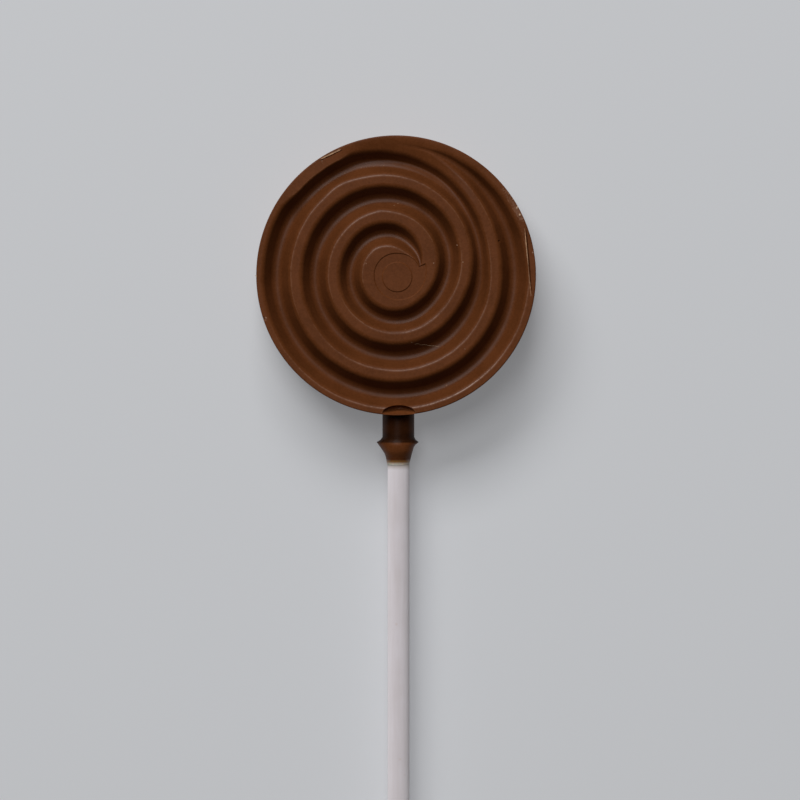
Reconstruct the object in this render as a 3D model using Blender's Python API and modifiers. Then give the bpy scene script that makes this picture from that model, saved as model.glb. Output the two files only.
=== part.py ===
"""Chocolate lollipop: a thick disc with a spiral relief, moulded in one with its neck, on a paper stick.

It lies on the flat back of the disc with the spiral up. The stick points along -Y.
Run it with: blender --background --python part.py
"""

import math

import bmesh
import bpy

MM = 0.001

# The disc, lying flat, with its centre above the origin
DISC_RADIUS = 28.0 * MM
DISC_THICKNESS = 14.0 * MM
DISC_EDGE_ROUNDING = 0.6 * MM
DISC_SEGMENTS = 120

# The spiral ridge, which starts as the disc's rim and winds inwards clockwise, seen from above.
# Angles run clockwise from +Y. The ridge keeps its radius, then eases to the next one, and so on:
# the angle where each ease starts, the angle where it ends, and the radius after it.
FIRST_RIDGE_RADIUS = 26.95 * MM
RIDGE_EASES = (
    (-355.0, -300.0, 27.65 * MM),
    (-55.0, 90.0, 20.0 * MM),
    (316.0, 500.0, 12.5 * MM),
    (677.0, 860.0, 5.72 * MM),
    (1030.0, 1120.0, 3.9 * MM),
)
RIDGE_WIDTH = 1.9 * MM
SPIRAL_SHIFT_X = -0.24 * MM

# The groove between the turns of the ridge: a rounded V whose size follows the room it has
GROOVE_START = 3.0
GROOVE_END = 1149.0
GROOVE_STEP = 6.0
GROOVE_DEPTH_RATIO = 0.68
GROOVE_WALL_SLOPE = math.radians(45.0)
GROOVE_BOTTOM_FACETS = 6
GROOVE_OVERCUT = 0.15
GROOVE_TAPER_START = 1080.0
GROOVE_TAPER_POWER = 0.35

# The shallow pocket round the raised centre, bounded by a step that eases inwards
POCKET_START = 66.0
POCKET_END = 432.0
POCKET_STEP = 12.0
POCKET_WIDE_RADIUS = 6.5 * MM
POCKET_RADIUS = 4.6 * MM
POCKET_SETTLES = 240.0
POCKET_DEPTH = 0.35 * MM
BOSS_RADIUS = 3.0 * MM
BOSS_SEGMENTS = 40

# Neck, flange and collar under the disc, turned about the stick's axis
STICK_AXIS_X = 0.45 * MM
STICK_AXIS_Z = 6.5 * MM
NECK_RADIUS = 3.22 * MM
NECK_TOP = 22.0 * MM
NECK_END = 32.5 * MM
FLANGE_RADIUS = 4.25 * MM
FLANGE_TOP = 33.3 * MM
FLANGE_END = 33.55 * MM
COLLAR_RADIUS = 2.85 * MM
COLLAR_TOP = 35.5 * MM
COLLAR_END_RADIUS = 2.6 * MM
COLLAR_END = 37.3 * MM
NECK_SEGMENTS = 48

# The scoop in the front edge of the disc, above the neck
SCOOP_HALF_WIDTH = 3.4 * MM
SCOOP_HALF_HEIGHT = 1.8 * MM
SCOOP_DEPTH = 1.1 * MM
SCOOP_DISTANCE = 27.6 * MM

# A gouge along the right edge and a flake missing from the upper left edge:
# angle, distance from the centre, half size along the edge, across it, and into the face
CHIPS = {
    "gouge": (84.0, 27.7 * MM, 7.0 * MM, 0.9 * MM, 1.0 * MM),
    "flake": (322.0, 28.3 * MM, 5.5 * MM, 1.7 * MM, 0.8 * MM),
}

# The stick, a rolled paper rod
STICK_RADIUS = 2.25 * MM
STICK_LENGTH = 120.0 * MM
STICK_TOP = 13.0 * MM
STICK_END_BEVEL = 0.25 * MM
STICK_SEGMENTS = 48
BORE_CLEARANCE = 0.2 * MM

CUT_MARGIN = 1.0 * MM

CHOCOLATE_COLOUR = (0.095, 0.035, 0.014, 1.0)
PAPER_COLOUR = (0.80, 0.77, 0.76, 1.0)


def clear_scene():
    for obj in list(bpy.data.objects):
        bpy.data.objects.remove(obj, do_unlink=True)


def new_collection(name, hidden=False):
    collection = bpy.data.collections.new(name)
    bpy.context.scene.collection.children.link(collection)
    collection.hide_render = hidden
    return collection


def new_material(name, colour, roughness):
    material = bpy.data.materials.new(name)
    material.use_nodes = True
    shader = material.node_tree.nodes["Principled BSDF"]
    shader.inputs["Base Color"].default_value = colour
    shader.inputs["Roughness"].default_value = roughness
    shader.inputs["Metallic"].default_value = 0.0
    return material


def new_object(name, data, collection):
    obj = bpy.data.objects.new(name, data)
    collection.objects.link(obj)
    return obj


def mark_cutter(obj):
    obj.hide_render = True
    obj.display_type = "WIRE"


def ease(angle, start, end):
    """0 before start and 1 after end, with a smooth step between them."""
    t = min(max((angle - start) / (end - start), 0.0), 1.0)
    return t * t * (3.0 - 2.0 * t)


def on_face(angle, radius, height=0.0):
    """The point at an angle clockwise from +Y, in degrees, and a distance from the disc's centre."""
    turn = math.radians(angle)
    return (radius * math.sin(turn), radius * math.cos(turn), height)


def turned(name, profile, segments, collection, phase=0.0):
    """A solid of revolution about Z, its corners moved on by phase, as a share of one segment.

    The profile of (radius, height) points runs down the outside.
    """
    turn = phase * 2 * math.pi / segments
    points = [(radius * math.cos(turn), radius * math.sin(turn), height) for radius, height in profile]
    mesh = bpy.data.meshes.new(name)
    edges = [(i, i + 1) for i in range(len(profile) - 1)]
    mesh.from_pydata(points, edges, [])
    obj = new_object(name, mesh, collection)
    screw = obj.modifiers.new("Turn", "SCREW")
    screw.axis = "Z"
    screw.steps = segments
    screw.render_steps = segments
    screw.use_merge_vertices = True
    screw.merge_threshold = 0.000001
    screw.use_smooth_shade = False
    return obj


def to_mesh(curve_obj, collection):
    """The curve object as a welded mesh object under the same name."""
    graph = bpy.context.evaluated_depsgraph_get()
    mesh = bpy.data.meshes.new_from_object(curve_obj.evaluated_get(graph))
    cage = bmesh.new()
    cage.from_mesh(mesh)
    bmesh.ops.remove_doubles(cage, verts=cage.verts, dist=0.000001)
    bmesh.ops.recalc_face_normals(cage, faces=cage.faces)
    cage.to_mesh(mesh)
    cage.free()
    name = curve_obj.name
    matrix = curve_obj.matrix_world.copy()
    bpy.data.objects.remove(curve_obj, do_unlink=True)
    obj = new_object(name, mesh, collection)
    obj.matrix_world = matrix
    return obj


def cut(obj, cutter, operation="DIFFERENCE"):
    boolean = obj.modifiers.new(cutter.name, "BOOLEAN")
    boolean.operation = operation
    boolean.solver = "EXACT"
    boolean.object = cutter


def ridge_radius(angle):
    """Distance from the spiral's centre to the middle of the ridge after this much winding."""
    radius = FIRST_RIDGE_RADIUS
    before = FIRST_RIDGE_RADIUS
    for start, end, after in RIDGE_EASES:
        radius += (after - before) * ease(angle, start, end)
        before = after
    return radius


def groove_section(angle):
    """Middle and half width of the groove, between a turn of the ridge and the turn outside it."""
    inner = ridge_radius(angle) + RIDGE_WIDTH / 2
    outer = ridge_radius(angle - 360.0) - RIDGE_WIDTH / 2
    left = min(1.0, (GROOVE_END - angle) / (GROOVE_END - GROOVE_TAPER_START))
    width = (outer - inner) * left**GROOVE_TAPER_POWER
    return inner + width / 2, width / 2


def groove_profile():
    """The rounded V, 1 to each side at the face, as (across, up) points from a little above the face."""
    sine = math.sin(GROOVE_WALL_SLOPE)
    cosine = math.cos(GROOVE_WALL_SLOPE)
    rounding = (sine - GROOVE_DEPTH_RATIO * cosine) / (1.0 - cosine)
    points = [(1.0 + GROOVE_OVERCUT / math.tan(GROOVE_WALL_SLOPE), GROOVE_OVERCUT)]
    for i in range(GROOVE_BOTTOM_FACETS + 1):
        turn = GROOVE_WALL_SLOPE * (1.0 - 2.0 * i / GROOVE_BOTTOM_FACETS)
        points.append((rounding * math.sin(turn), rounding * (1.0 - math.cos(turn)) - GROOVE_DEPTH_RATIO))
    return points + [(-points[0][0], GROOVE_OVERCUT)]


def poly_spline(curve, points, closed):
    spline = curve.splines.new("POLY")
    spline.points.add(len(points) - 1)
    for point, place in zip(spline.points, points):
        point.co = (*place, 1.0)
    spline.use_cyclic_u = closed
    return spline


def make_groove_cutter(collection):
    section = bpy.data.curves.new("groove_section", "CURVE")
    section.dimensions = "2D"
    section.fill_mode = "NONE"
    poly_spline(section, [(x, y, 0.0) for x, y in groove_profile()], closed=True)
    guide = new_object("groove_section", section, collection)
    mark_cutter(guide)

    path = bpy.data.curves.new("groove_cutter", "CURVE")
    path.dimensions = "3D"
    path.twist_mode = "Z_UP"
    path.bevel_mode = "OBJECT"
    path.bevel_object = guide
    path.use_fill_caps = True
    count = round((GROOVE_END - GROOVE_START) / GROOVE_STEP)
    angles = [GROOVE_START + GROOVE_STEP * i for i in range(count)]
    sections = [groove_section(angle) for angle in angles]
    spline = poly_spline(path, [on_face(a, s[0]) for a, s in zip(angles, sections)], closed=False)
    for point, (_, half_width) in zip(spline.points, sections):
        point.radius = half_width
    curve_obj = new_object("groove_cutter", path, collection)
    curve_obj.location = (SPIRAL_SHIFT_X, 0.0, DISC_THICKNESS)
    bpy.context.view_layer.update()
    cutter = to_mesh(curve_obj, collection)
    mark_cutter(cutter)
    return cutter


def make_pocket_cutter(collection):
    """The pocket's outline with a hole for the raised centre, extruded through the face."""
    outline = bpy.data.curves.new("pocket_cutter", "CURVE")
    outline.dimensions = "2D"
    outline.fill_mode = "BOTH"
    outline.extrude = (POCKET_DEPTH + CUT_MARGIN) / 2
    edge = []
    for i in range(round((POCKET_END - POCKET_START) / POCKET_STEP) + 1):
        angle = POCKET_START + POCKET_STEP * i
        reach = ease(angle, POCKET_START, POCKET_SETTLES)
        edge.append(on_face(angle, POCKET_WIDE_RADIUS + (POCKET_RADIUS - POCKET_WIDE_RADIUS) * reach))
    poly_spline(outline, edge, closed=True)
    boss = [on_face(360.0 * i / BOSS_SEGMENTS, BOSS_RADIUS) for i in range(BOSS_SEGMENTS)]
    poly_spline(outline, boss, closed=True)
    curve_obj = new_object("pocket_cutter", outline, collection)
    curve_obj.location.z = DISC_THICKNESS + (CUT_MARGIN - POCKET_DEPTH) / 2
    bpy.context.view_layer.update()
    cutter = to_mesh(curve_obj, collection)
    mark_cutter(cutter)
    return cutter


def make_dent_cutter(name, place, half_sizes, turn, collection):
    """An egg-shaped cutter with its middle at place, turned about Z."""
    mesh = bpy.data.meshes.new(name)
    ball = bmesh.new()
    bmesh.ops.create_uvsphere(ball, u_segments=24, v_segments=12, radius=1.0)
    bmesh.ops.scale(ball, vec=half_sizes, verts=ball.verts)
    ball.to_mesh(mesh)
    ball.free()
    cutter = new_object(name, mesh, collection)
    cutter.location = place
    cutter.rotation_euler = (0.0, 0.0, -math.radians(turn))
    mark_cutter(cutter)
    return cutter


def along_stick(obj):
    """Lays a shape that was turned about Z on the stick's axis, with its far end towards -Y."""
    obj.location = (STICK_AXIS_X, 0.0, STICK_AXIS_Z)
    obj.rotation_euler = (math.radians(90.0), 0.0, 0.0)


def make_neck(collection):
    """Neck, flange and collar, running from inside the disc to the end of the collar."""
    profile = [
        (0.0, COLLAR_END),
        (COLLAR_END_RADIUS, COLLAR_END),
        (COLLAR_RADIUS, COLLAR_TOP),
        (FLANGE_RADIUS, FLANGE_END),
        (FLANGE_RADIUS, FLANGE_TOP),
        ((FLANGE_RADIUS + 2 * NECK_RADIUS) / 3, (FLANGE_TOP + NECK_END) / 2),
        (NECK_RADIUS, NECK_END),
        (NECK_RADIUS, NECK_TOP),
        (0.0, NECK_TOP),
    ]
    neck = turned("neck", profile, NECK_SEGMENTS, collection)
    along_stick(neck)
    mark_cutter(neck)
    return neck


def make_bore_cutter(collection):
    radius = STICK_RADIUS + BORE_CLEARANCE
    top = COLLAR_END + CUT_MARGIN
    bottom = STICK_TOP - BORE_CLEARANCE
    profile = [(0.0, top), (radius, top), (radius, bottom), (0.0, bottom)]
    bore = turned("bore_cutter", profile, NECK_SEGMENTS, collection, phase=0.5)
    along_stick(bore)
    mark_cutter(bore)
    return bore


def make_chocolate(parts, cutters, material):
    edge = DISC_EDGE_ROUNDING
    profile = [
        (0.0, DISC_THICKNESS),
        (DISC_RADIUS - edge, DISC_THICKNESS),
        (DISC_RADIUS - edge * (1.0 - math.sqrt(0.5)), DISC_THICKNESS - edge * (1.0 - math.sqrt(0.5))),
        (DISC_RADIUS, DISC_THICKNESS - edge),
        (DISC_RADIUS, edge),
        (DISC_RADIUS - edge * (1.0 - math.sqrt(0.5)), edge * (1.0 - math.sqrt(0.5))),
        (DISC_RADIUS - edge, 0.0),
        (0.0, 0.0),
    ]
    chocolate = turned("chocolate", profile, DISC_SEGMENTS, parts, phase=0.5)
    cut(chocolate, make_groove_cutter(cutters))
    cut(chocolate, make_pocket_cutter(cutters))
    scoop_place = (STICK_AXIS_X, -SCOOP_DISTANCE, DISC_THICKNESS)
    scoop_size = (SCOOP_HALF_WIDTH, SCOOP_HALF_HEIGHT, SCOOP_DEPTH)
    cut(chocolate, make_dent_cutter("scoop_cutter", scoop_place, scoop_size, 0.0, cutters))
    for name, (angle, distance, along, across, into) in CHIPS.items():
        place = on_face(angle, distance, DISC_THICKNESS)
        cut(chocolate, make_dent_cutter(name + "_cutter", place, (along, across, into), angle, cutters))
    cut(chocolate, make_neck(cutters), "UNION")
    cut(chocolate, make_bore_cutter(cutters))
    chocolate.data.materials.append(material)
    return chocolate


def make_stick(parts, material):
    tip = STICK_END_BEVEL
    far = STICK_TOP + STICK_LENGTH
    profile = [
        (0.0, far),
        (STICK_RADIUS - tip, far),
        (STICK_RADIUS, far - tip),
        (STICK_RADIUS, STICK_TOP + tip),
        (STICK_RADIUS - tip, STICK_TOP),
        (0.0, STICK_TOP),
    ]
    stick = turned("stick", profile, STICK_SEGMENTS, parts)
    along_stick(stick)
    stick.data.materials.append(material)
    return stick


def main():
    clear_scene()
    parts = new_collection("chocolate_lollipop")
    cutters = new_collection("cutters", hidden=True)
    make_chocolate(parts, cutters, new_material("milk_chocolate", CHOCOLATE_COLOUR, 0.42))
    make_stick(parts, new_material("rolled_paper", PAPER_COLOUR, 0.8))


main()
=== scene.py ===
"""Looks of the chocolate lollipop: a milk chocolate disc with a spiral relief, on a rolled paper stick.

Everything is in metres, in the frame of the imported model: the origin is in the middle of the disc's flat
back, +Z comes out of the spiral face, and the stick points along -Y. Angles on the face run clockwise
from +Y, seen from above, in degrees.
"""

import math
from functools import partialmethod

import bmesh
import bpy
from mathutils import Matrix, Vector, noise


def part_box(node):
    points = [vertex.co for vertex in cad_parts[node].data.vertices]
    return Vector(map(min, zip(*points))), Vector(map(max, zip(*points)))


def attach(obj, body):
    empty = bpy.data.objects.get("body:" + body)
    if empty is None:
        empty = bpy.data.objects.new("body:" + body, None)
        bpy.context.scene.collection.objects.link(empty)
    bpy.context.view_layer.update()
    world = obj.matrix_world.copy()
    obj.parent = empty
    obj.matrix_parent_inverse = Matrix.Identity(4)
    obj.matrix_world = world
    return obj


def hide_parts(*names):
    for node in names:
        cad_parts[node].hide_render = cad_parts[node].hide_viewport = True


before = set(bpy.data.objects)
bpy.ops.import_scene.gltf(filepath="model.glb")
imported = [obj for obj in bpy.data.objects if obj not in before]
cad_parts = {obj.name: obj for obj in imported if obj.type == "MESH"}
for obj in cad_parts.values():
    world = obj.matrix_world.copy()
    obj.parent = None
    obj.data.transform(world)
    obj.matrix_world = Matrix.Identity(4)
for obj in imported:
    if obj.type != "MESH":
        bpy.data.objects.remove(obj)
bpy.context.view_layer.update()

MM = 0.001


def in_mm(*points):
    """These points, given in millimetres, in metres."""
    return tuple(tuple(value * MM for value in point) for point in points)


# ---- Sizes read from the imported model, and the disc's edges ----
CHOCOLATE_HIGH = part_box("chocolate")[1]
STICK_LOW, STICK_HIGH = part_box("stick")
DISC_RADIUS = CHOCOLATE_HIGH.x
DISC_THICKNESS = CHOCOLATE_HIGH.z
FACE_EDGE_ROUNDING = 0.24 * MM
BACK_EDGE_ROUNDING = 0.9 * MM
DISC_SEGMENTS = 360
EDGE_FACETS = 6

# ---- The spiral ridge: the angle where each ease starts, where it ends, and the radius after it ----
FIRST_RIDGE_RADIUS = 26.95 * MM
RIDGE_EASES = (
    (-370.0, -335.0, 27.65 * MM),
    (-55.0, 90.0, 20.0 * MM),
    (316.0, 500.0, 12.5 * MM),
    (677.0, 860.0, 5.72 * MM),
    (1030.0, 1120.0, 3.9 * MM),
)
RIDGE_WIDTH = 2.5 * MM
SPIRAL_SHIFT_X = -0.15 * MM

# ---- The groove between the turns of the ridge ----
GROOVE_START = 1.0
GROOVE_END = 1149.0
GROOVE_COLUMNS = 1147
GROOVE_DEPTH_RATIO = 1.12
GROOVE_WALL_SLOPE = math.radians(58.0)
GROOVE_BOTTOM_FACETS = 7
GROOVE_TAPER_START = 1080.0
GROOVE_TAPER_POWER = 0.35
RIDGE_EDGE_ROUNDING = 1.25 * MM
RIDGE_EDGE_FACETS = 10
EDGE_LIFT = 0.0008 * MM
LEAST_HALF_WIDTH = 0.02 * MM
FIRST_HALF_WIDTH = 0.50 * MM
GROOVE_DEEPENS = (0.0, 50.0)
LEAST_DEPTH_SHARE = 0.02
WELD_DISTANCE = 0.0001 * MM
CUT_MARGIN = 1.0 * MM
GROOVE_WANDER = 0.20 * MM
GROOVE_WANDER_SCALE = 130.0
SWAY_SEED = 3.0
SWELL_SEED = 8.0
STEADY_HALF_WIDTHS = (0.3 * MM, 1.5 * MM)
EDGE_WAVER = 0.22 * MM
EDGE_WAVER_SCALE = 380.0
WAVER_SEED = 5.0
# Painted highlight along the ridges' edges that face the light: the tilt where it is brightest, and how far
# it reaches
HIGHLIGHT_TILT = math.radians(16.0)
HIGHLIGHT_TILT_RANGE = math.radians(6.0)
INSET_HIGHLIGHT_RANGE = math.radians(26.0)
KINKS = ((328.0, 0.32 * MM), (708.5, 0.22 * MM))
KINK_REACH = 14.0
# Painted highlight: the direction of the light it faces, how fully an edge must face it, where it grows in,
# and where it is stronger and by how much
HIGHLIGHT_DIRECTION = -25.0
HIGHLIGHT_FACING = (-0.25, 0.35)
HIGHLIGHT_GROWS = (12.0, 45.0)
HIGHLIGHT_BOOST_GROWS = (120.0, 152.0)
HIGHLIGHT_BOOST_FADES = (168.0, 200.0)
HIGHLIGHT_BOOST = 1.8
GLOSSY_ROWS = (1.0, 6.0)
# Painted shade in the groove, as its share of the near-black
GROOVE_PAINTED_SHADE = 0.17
OUTER_BULGE = 0.5 * MM
BULGE_GROWS = (325.0, 343.0)
BULGE_FADES = (380.0, 470.0)
INSET_RADIUS = 25.55 * MM
INSET_GROWS = (298.0, 313.0)
INSET_FADES = (334.0, 341.0)
INSET_ROUNDING = 0.45
# Painted highlight along the inset's edge, whichever way it faces
INSET_HIGHLIGHT = 0.8

# ---- The ramp at the top of the rim, where the ridge begins ----
RAMP_START = 283.0
RAMP_END = 414.0
RAMP_SLOPE = math.radians(19.0)
RAMP_RISES = (326.0, 357.0)
RAMP_FADES = (364.0, 410.0)
RAMP_EDGE_RADIUS = 27.7 * MM
RAMP_PAST_WALL = 0.9 * MM
RAMP_EASE = 0.9 * MM
RAMP_REACHES = (-0.2, 0.9)
RAMP_COLUMNS = 160
RAMP_ROWS = 24

# ---- The shallow pocket round the raised centre ----
BOSS_SHIFT = (0.22 * MM, -0.36 * MM)
POCKET_START = 68.7
POCKET_END = 428.7
POCKET_COLUMNS = 200
POCKET_WIDE_RADIUS = 6.4 * MM
POCKET_RADIUS = 4.5 * MM
POCKET_TIP_RADIUS = 5.0 * MM
POCKET_SETTLES = 275.0
POCKET_SETTLING_POWER = 1.7
POCKET_OPENS = 360.0
POCKET_END_TURN = 1.4
POCKET_DEPTH = 0.15 * MM
POCKET_WALL_RUN = 0.21 * MM
BOSS_RADIUS = 2.86 * MM

# ---- Neck, flange and collar, as (distance along -Y, radius) from the disc outwards ----
STICK_AXIS_X = (STICK_LOW.x + STICK_HIGH.x) / 2
STICK_AXIS_Z = (STICK_LOW.z + STICK_HIGH.z) / 2
STICK_RADIUS = (STICK_HIGH.x - STICK_LOW.x) / 2
NECK_TOP = 22.0 * MM
NECK_RADIUS = 3.22 * MM
NECK_END = 32.4 * MM
NECK_PROFILE = (
    (NECK_TOP, NECK_RADIUS),
    (33.0 * MM, NECK_RADIUS),
    *in_mm((33.3, 3.42), (33.9, 3.56), (34.2, 3.56), (34.5, 3.53), (34.8, 3.48), (35.1, 3.40)),
    *in_mm((35.4, 3.29), (35.7, 3.15), (36.0, 2.99), (36.5, 2.70), (37.0, 2.44), (37.4, 2.30)),
)
LEFT_FIN_PROFILE = (
    (NECK_END, NECK_RADIUS),
    *in_mm((32.9, 3.55), (33.25, 4.05), (33.42, 4.38), (33.62, 4.26), (34.5, 3.62), (35.76, 2.78)),
    *in_mm((36.5, 2.54), (37.4, 2.31)),
)
RIGHT_FIN_PROFILE = (
    (NECK_END, NECK_RADIUS),
    *in_mm((32.9, 3.45), (33.25, 3.85), (33.42, 4.08), (33.62, 3.90), (34.0, 3.45), (34.5, 3.12)),
    *in_mm((35.4, 2.86), (36.8, 2.48), (37.4, 2.31)),
)
TURNED_SEGMENTS = 96
NECK_STEP = 0.085 * MM
TOOL_LINE_PITCH = 0.36 * MM
TOOL_LINE_DEPTH = 0.010 * MM
NECK_LINES_FROM = 27.5 * MM
FLANGE_TIP = 33.42 * MM
FLANGE_FIN_WIDTH = 0.5 * MM
FIN_THINNESS = 4
FLANGE_RAGGED = 0.22 * MM
FIN_WAVE_SCALE = 2.2
FIN_GRAIN_SCALE = 9.0
# Painted shade on the neck and the collar's end, where they lie in the disc's shade: where it grows, ends,
# and how strong it is
NECK_SHADE_FROM = (30.9 * MM, 32.2 * MM)
NECK_SHADE_TO = (33.42 * MM, 33.70 * MM)
COLLAR_SHADE_GROWS = (35.2 * MM, 36.0 * MM)
COLLAR_PAINTED_SHADE = 0.22
NECK_SHADE_SHARES = (0.45, 0.80)
BORE_RADIUS = STICK_RADIUS + 0.02 * MM
BORE_END_ROOM = 0.2 * MM

# ---- The scoop in the face above the neck ----
SCOOP_X = 0.55 * MM
SCOOP_HALF_WIDTH = 3.35 * MM
SCOOP_HALF_HEIGHT = 1.85 * MM
SCOOP_DEPTH = 3.7 * MM
SCOOP_DISTANCE = 27.8 * MM
SCOOP_BOWL_ANGLES = range(5, 86, 5)
SCOOP_EDGE = 0.07
SCOOP_EDGE_ANGLES = (175.0, 100.0)
SCOOP_LIP_SHARE = 0.08
SCOOP_RISE_POWER = 0.9

# ---- Damage, in millimetres and degrees: angle, distance from the centre, half sizes (along the edge,
# across it, into the face), how far it is turned from the edge's direction, how rough, and how pale and
# glossy it is (scraped wear, and in part a painted highlight) ----
CHIPS = {
    "flake_shadow": (331.6, 27.26, (2.5, 0.16, 0.40), -2.5, 0.15, 0.0),
    "edge_flake": (331.8, 27.52, (2.3, 0.27, 0.16), -1.7, 0.25, 0.0),
    "gouge": (84.0, 26.70, (6.3, 0.17, 0.8), -1.0, 0.12, 0.0),
    "gouge_side": (83.5, 26.48, (6.6, 0.13, 0.10), -1.0, 0.20, 0.0),
    "edge_break": (60.2, 27.7, (3.2, 0.95, 0.14), 0.0, 0.35, 0.6),
    "edge_nick": (53.5, 28.05, (1.6, 0.45, 0.25), 0.0, 0.5, 0.6),
    "left_nick": (251.8, 27.85, (0.45, 0.40, 0.30), 0.0, 0.4, 0.6),
    "pinhole": (71.6, 21.8, (0.30, 0.30, 1.0), 0.0, 0.1, 0.0),
}
LIGHT_BREAKS = ("edge_flake", "gouge_side")
CHIP_RIM = 0.06 * MM
CHIP_LUMP_SCALE = 1.6
CHIP_GRAIN_SCALE = 5.0
CHIP_SEED = (3.1, 5.7)
CHIP_SUBDIVISIONS = 4
DISC_SHARP_ANGLE = 24.0
LEVEL_NORMAL_Z = 0.99985

# ---- Crumbs on the face, as (x, y, size) in millimetres ----
PALE_CRUMBS = (
    (24.18, 13.38, 0.30), (24.72, 12.12, 0.30), (23.38, 15.24, 0.10), (-27.95, -0.16, 0.20),
)
LIGHT_CRUMBS = (
    (22.5, 16.26, 0.16), (-12.48, 19.56, 0.14), (-10.34, 20.56, 0.15), (-6.98, 21.6, 0.14),
    (-5.9, 21.7, 0.12), (-4.5, 21.9, 0.14), (-2.5, 22.0, 0.13), (10.1, -22.06, 0.19), (-26.0, -8.56, 0.20),
    (-0.4, 13.98, 0.16), (0.36, 14.44, 0.18), (-5.98, 2.30, 0.14), (12.26, 6.02, 0.15), (13.36, 2.58, 0.18),
    (7.48, 2.40, 0.14), (13.78, -14.78, 0.14), (1.84, -10.96, 0.13), (27.32, 4.54, 0.16),
    (26.96, -1.62, 0.16),
)
PALE_CRUMB_SEED = 3
LIGHT_CRUMB_SEED = 5
CRUMB_SINK = 0.15
CRUMB_SHARP_ANGLE = 35.0
CRUMB_LUMP_SCALE = 1.3
CRUMB_LUMPS = 1.8
CRUMB_SUBDIVISIONS = 2
CRUMB_TURNS = ((-0.4, -0.4, 0.0), (0.4, 0.4, 6.28))
CRUMB_SHAPES = ((0.9, 0.45, 0.35), (1.5, 0.9, 0.6))

# ---- The fine pale scratch in the groove below the centre: points in millimetres, from left to right ----
SCRATCH = (
    (3.1, -13.4), (3.7, -13.9), (4.3, -13.5), (4.9, -14.0),
    (5.6, -13.8), (6.6, -14.1), (7.6, -14.1), (8.6, -14.3),
)
SCRATCH_RADIUS = 0.035 * MM
SCRATCH_SHARP_ANGLE = 60.0

# ---- The stick ----
PAPER_PITCH = 0.12 * MM
PAPER_THICKNESS = 0.108 * MM
ROLL_CORE_RADIUS = 0.3 * MM
ROLL_TURNS = (STICK_RADIUS - ROLL_CORE_RADIUS) / PAPER_PITCH
ROLL_TURN_COLUMNS = 48
ROLL_COLUMNS = ROLL_TURN_COLUMNS * round(ROLL_TURNS)
ROLL_ROWS = 9
ROLL_SEAM_ANGLE = 60.0
PAPER_SHARP_ANGLE = 40.0

# ---- The lip of cocoa butter where the collar ends on the stick ----
LIP_START = 36.95 * MM
LIP_LENGTH = 0.95 * MM
LIP_RADIUS = 2.46 * MM
LIP_END_THICKNESS = 0.012 * MM
LIP_TAPER = 1.2
LIP_UNEVEN = 0.30 * MM
LIP_ROWS = 10
LIP_WAVE_SCALE = 1.4
LIP_BORE_RADIUS = STICK_RADIUS - 0.01 * MM
LIP_SHARP_ANGLE = 30.0
LIP_TURNS_AMBER = (-36.95 * MM, -37.40 * MM)
LIP_TURNS_PALE = (-37.36 * MM, -37.95 * MM)
# Painted shadow of the collar on the stick: where it starts and ends along Y
PAPER_SHADOW_REACH = (-39.2 * MM, -37.6 * MM)

# ---- Camera and light. A light is its azimuth, elevation, width, height and brightness ----
IMAGE_WIDTH = 160.0 * MM
CAMERA_DISTANCE = 0.9
CAMERA_X = 0.78 * MM
CAMERA_Y = -24.96 * MM
SENSOR_WIDTH = 36.0
CLIP_START = 0.01
LIGHT_DISTANCE = 2.6
LIGHTS = {
    "key": (-19.0, 41.0, 1.9, 1.0, 0.67),
    "overhead": (-22.0, 70.0, 1.2, 1.0, 0.22),
}
WORLD_BRIGHTNESS = 0.015
FLOOR_HALF_SIZE = 3.0

# ---- Colours, linear ----
CHOCOLATE_LIGHT = (0.162, 0.0500, 0.0152, 1.0)
CHOCOLATE_DARK = (0.121, 0.0362, 0.0100, 1.0)
# Pale chocolate, for specks and crumbs, and for the painted highlights and wear along edges
CHOCOLATE_WORN_AND_HIGHLIGHT = (0.250, 0.1030, 0.0450, 1.0)
# Painted shade: the near-black that the neck and the grooves are blended towards
PAINTED_SHADE_COLOUR = (0.012, 0.0040, 0.0014, 1.0)
BREAK_LIGHT = (0.58, 0.34, 0.19, 1.0)
BREAK_DARK = (0.29, 0.138, 0.064, 1.0)
CRUMB_LIGHT = (0.55, 0.40, 0.28, 1.0)
BUTTER = (0.26, 0.130, 0.035, 1.0)
BUTTER_PALE = (0.68, 0.56, 0.47, 1.0)
# Painted shadow on the stick under the collar
PAPER_SHADOW_COLOUR = (0.36, 0.29, 0.22, 1.0)
PAPER_LIGHT = (0.89, 0.845, 0.875, 1.0)
PAPER_DARK = (0.82, 0.765, 0.78, 1.0)
FLOOR_DARK = (0.5335, 0.5432, 0.5626, 1.0)
FLOOR = (0.55, 0.56, 0.58, 1.0)
FLOOR_GLOW = 0.34

# ---- Finishes: the grain's scales are those of its mottling, its fine grain and its specks, then the
# specks' size. Roughness is lowest and highest, and a bump is its distance and strength ----
CHOCOLATE_GRAIN = (170.0, 2400.0, 520.0, 0.08)
CHOCOLATE_PATCHES = (0.39, 0.61)
CHOCOLATE_ROUGHNESS = (0.34, 0.42)
CHOCOLATE_BUMP = (0.02 * MM, 0.6)
SPECKS_SHOW = 0.25
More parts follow.
